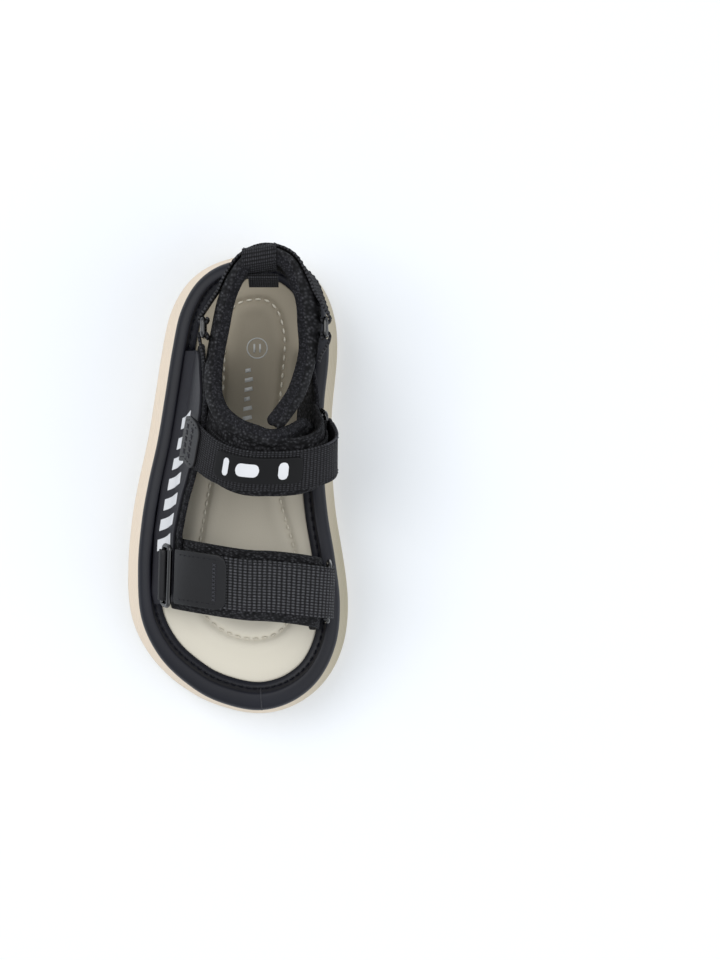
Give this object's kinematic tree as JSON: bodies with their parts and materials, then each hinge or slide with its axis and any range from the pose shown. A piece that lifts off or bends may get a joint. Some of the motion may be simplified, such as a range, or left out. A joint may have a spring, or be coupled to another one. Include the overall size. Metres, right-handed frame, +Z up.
{
  "type": "strappy sport sandal",
  "caption": "Child's sport sandal with a flared platform sole, padded rim, hook-and-loop forefoot and instep straps, padded collar and heel strap.",
  "frame": {"origin": "on the floor, under the centre of the sole's outline", "axes": "+Z up, +Y from toe to heel, +X to the medial (inner) side"},
  "size_m": [0.094, 0.1957, 0.086],
  "materials": {
    "outsole": "matte moulded rubber",
    "midsole": "matte cream EVA foam, lengthwise grooves",
    "board": "fibre board",
    "footbed_foam": "soft foam",
    "footbed_cover": "smooth synthetic leather, khaki",
    "rim": "padded smooth synthetic leather, black",
    "rim_foam": "foam cord",
    "lining": "black knitted spacer mesh",
    "overlay": "matte synthetic leather, black",
    "collar": "padded black knit",
    "webbing": "woven polyester webbing, black",
    "loop_tape": "soft loop tape, black",
    "hook_tape": "hook tape, black",
    "tip": "pressed synthetic leather, black",
    "ring": "glossy black plastic",
    "patch": "soft moulded patch, black with a white mark"
  },
  "bodies": {
    "sandal": {"outsole": "outsole", "midsole": "midsole", "insole_board": "board", "footbed_foam": "footbed_foam", "footbed_cover": "footbed_cover", "rim_binding": "rim", "rim_filler": "rim_foam", "lateral_quarter_lining": "lining", "lateral_overlay": "overlay", "medial_quarter": "lining", "vamp_band": "lining", "instep_band": "lining", "collar_lateral": "collar", "collar_medial": "collar", "forefoot_base_webbing": "webbing", "forefoot_loop_tape": "loop_tape", "forefoot_medial_anchor": "webbing", "forefoot_keeper": "tip", "instep_base_webbing": "webbing", "instep_loop_tape": "loop_tape", "instep_medial_anchor": "webbing"},
    "forefoot_ring": {"forefoot_medial_ring": "ring"},
    "forefoot_flap": {"forefoot_flap": "webbing", "forefoot_tip": "tip", "forefoot_hook_tape": "hook_tape"},
    "instep_ring": {"instep_medial_ring": "ring"},
    "instep_flap": {"instep_flap": "webbing", "instep_tip": "tip", "instep_hook_tape": "hook_tape", "instep_patch": "patch"},
    "lateral_ring": {"forefoot_lateral_ring": "ring"},
    "heel_strap": {"heel_collar": "collar", "heel_webbing": "webbing", "heel_ring_lateral": "ring", "heel_ring_medial": "ring", "heel_anchor_lateral": "webbing", "heel_anchor_medial": "webbing"},
    "pull_tab": {"heel_pull_tab": "webbing"}
  },
  "joints": [
    {"name": "forefoot_ring_swing", "type": "hinge", "parent": "sandal", "child": "forefoot_ring", "pos_m": [0.03867, -0.04364, 0.03728], "axis": [0.0417, 0.9662, 0.2542], "range_deg": [0, 25]},
    {"name": "forefoot_flap_peel", "type": "hinge", "parent": "forefoot_ring", "child": "forefoot_flap", "pos_m": [0.03915, -0.04544, 0.04403], "axis": [0.0417, 0.9662, 0.2542], "range_deg": [0, 110]},
    {"name": "instep_ring_swing", "type": "hinge", "parent": "sandal", "child": "instep_ring", "pos_m": [0.03655, 0.02027, 0.05185], "axis": [-0.031, 0.9584, 0.2838], "range_deg": [0, 25]},
    {"name": "instep_flap_peel", "type": "hinge", "parent": "instep_ring", "child": "instep_flap", "pos_m": [0.03861, 0.01843, 0.05828], "axis": [-0.031, 0.9584, 0.2838], "range_deg": [0, 110]},
    {"name": "lateral_ring_swing", "type": "hinge", "parent": "sandal", "child": "lateral_ring", "pos_m": [-0.02946, -0.03725, 0.04405], "axis": [-0.0435, -0.9812, -0.188], "range_deg": [0, 70]},
    {"name": "heel_strap_tilt", "type": "hinge", "parent": "sandal", "child": "heel_strap", "pos_m": [0.013, 0.057, 0.061], "axis": [1, 0, 0], "range_deg": [-30, 15], "stiffness_Nm_per_rad": 0.08},
    {"name": "pull_tab_flip", "type": "hinge", "parent": "heel_strap", "child": "pull_tab", "pos_m": [0.013, 0.0849, 0.077], "axis": [-1, 0, 0], "range_deg": [0, 100], "stiffness_Nm_per_rad": 0.002}
  ]
}
